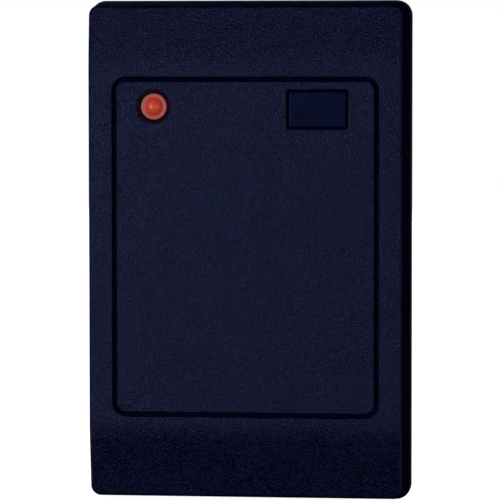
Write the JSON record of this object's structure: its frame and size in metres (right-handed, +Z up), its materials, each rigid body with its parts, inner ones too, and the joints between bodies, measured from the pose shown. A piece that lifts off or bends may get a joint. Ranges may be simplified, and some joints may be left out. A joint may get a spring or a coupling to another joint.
{
  "type": "proximity card reader",
  "caption": "Slim wall-mounted proximity card reader: textured black housing with a grooved panel, status light and blank badge, hung on a back plate and locked from below.",
  "frame": {"origin": "centre of the back plate's wall face", "axes": "+X right as a user facing the reader sees it, +Y into the wall, +Z up"},
  "size_m": [0.075, 0.015, 0.116],
  "materials": {
    "housing_plastic": "fine moulded grain, near-black navy",
    "plate_plastic": "fine moulded grain, black",
    "badge_plastic": "smooth, near-black blue",
    "red_lens": "translucent red, diffusing",
    "led_white": "white surface-mount LED body",
    "rubber": "soft black",
    "laminate": "green solder mask over glass-fibre laminate",
    "natural_plastic": "natural white moulding",
    "nylon": "natural nylon",
    "copper_wire": "enamelled copper wire",
    "component_black": "black moulded epoxy",
    "tan_ceramic": "tan ceramic with tinned ends",
    "can_metal": "bright drawn can",
    "steel": "zinc-plated steel",
    "brass": "machined brass"
  },
  "bodies": {
    "wall_plate": {"back_plate": "plate_plastic", "cable_grommet": "rubber", "lock_insert": "brass"},
    "reader": {"front_housing": "housing_plastic", "badge_plate": "badge_plastic", "light_guide": "red_lens", "status_led": "led_white", "main_board": "laminate", "coil_bobbin": "natural_plastic", "antenna_coil": "copper_wire", "board_screw_1": "steel", "board_screw_2": "steel", "board_screw_3": "steel", "board_screw_4": "steel", "buzzer": "component_black", "microcontroller": "component_black", "reader_chip": "component_black", "crystal": "can_metal", "voltage_regulator": "component_black", "capacitor_1": "can_metal", "capacitor_2": "can_metal", "diode_1": "component_black", "diode_2": "component_black", "tamper_switch": "component_black", "tamper_spring": "steel", "cable_header": "natural_plastic", "resistor_1": "component_black", "resistor_2": "component_black", "resistor_3": "component_black", "resistor_4": "component_black", "resistor_5": "component_black", "resistor_6": "component_black", "ceramic_capacitor_1": "tan_ceramic", "ceramic_capacitor_2": "tan_ceramic", "ceramic_capacitor_3": "tan_ceramic", "ceramic_capacitor_4": "tan_ceramic", "header_pin_1": "brass", "header_pin_2": "brass", "header_pin_3": "brass", "header_pin_4": "brass", "header_pin_5": "brass", "header_pin_6": "brass", "header_pin_7": "brass", "header_pin_8": "brass"},
    "tamper_plunger": {"tamper_plunger": "nylon"},
    "lock_washer": {"lock_washer": "nylon"},
    "lock_screw": {"lock_screw": "steel"}
  },
  "joints": [
    {"name": "housing_swing", "type": "hinge", "parent": "wall_plate", "child": "reader", "pos_m": [0, -0.0048, 0.0546], "axis": [-1, 0, 0], "range_deg": [0, 15]},
    {"name": "tamper_plunger_slide", "type": "slide", "parent": "reader", "child": "tamper_plunger", "axis": [0, 1, 0], "range_m": [0, 0.0015], "stiffness_N_per_m": 120, "springref_m": 0.003, "deforming": ["tamper_spring"]},
    {"name": "lock_washer_travel", "type": "slide", "parent": "wall_plate", "child": "lock_washer", "axis": [0, 0, -1], "range_m": [0, 0.002]},
    {"name": "lock_screw_turn", "type": "hinge", "parent": "lock_washer", "child": "lock_screw", "pos_m": [0, -0.0065, -0.056], "axis": [0, 0, -1], "range_deg": [0, 1440]}
  ],
  "couplings": [
    {"joint": "lock_screw_turn", "follows": "lock_washer_travel", "rad_per_m": 12566}
  ]
}
